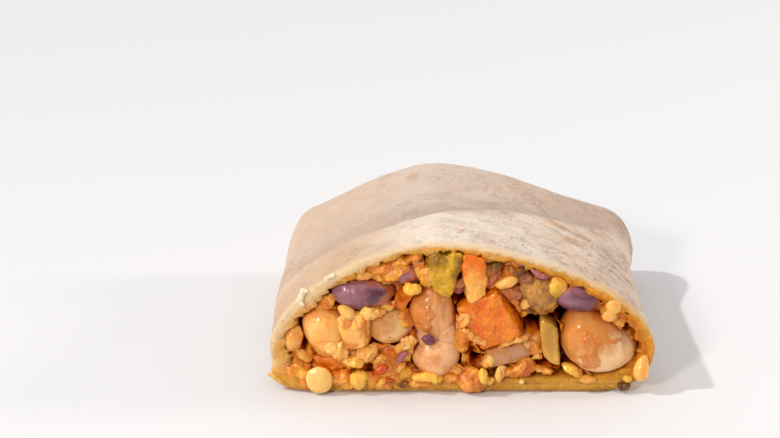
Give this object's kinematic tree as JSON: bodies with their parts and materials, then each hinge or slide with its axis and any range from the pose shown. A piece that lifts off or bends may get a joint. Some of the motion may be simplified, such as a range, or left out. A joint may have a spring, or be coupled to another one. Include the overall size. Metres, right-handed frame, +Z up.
{
  "type": "burrito half",
  "caption": "Half of a cut burrito lying flat, a domed flour tortilla roll with a folded end and a full cut face of beans, sweet potato, peppers and rice.",
  "frame": {"origin": "centre of the bounding box at the height of the resting face", "axes": "+Z up from the surface it lies on, the cut face towards -Y and the folded end towards +Y, +X to the right as the cut face is seen"},
  "size_m": [0.0878, 0.0744, 0.0355],
  "materials": {
    "tortilla": "dry, floury and lightly toasted",
    "mash": "wet and grainy",
    "mixed_mash": "wet and grainy",
    "dark_bean": "shiny skin",
    "pinto_bean": "shiny skin",
    "brown_bean": "shiny skin with sauce",
    "white_bean": "sauce coated",
    "potato": "sauce coated",
    "sweet_potato": "moist",
    "carrot": "moist",
    "green_pepper": "moist",
    "onion": "moist",
    "pepper_strip": "moist"
  },
  "bodies": {
    "root": {"tortilla": "tortilla", "filling": "mash", "pinto_bean_right": "pinto_bean", "sweet_potato_cube": "sweet_potato", "pinto_bean_upper": "pinto_bean", "pinto_bean_lower": "pinto_bean", "black_bean_left": "dark_bean", "black_bean_right": "dark_bean", "black_bean_top": "dark_bean", "white_bean_left": "white_bean", "brown_bean": "brown_bean", "potato_chunk": "potato", "green_pepper": "green_pepper", "carrot_piece": "carrot", "onion_piece": "onion", "pepper_strip": "pepper_strip", "mash_lump": "mixed_mash"}
  },
  "joints": []
}
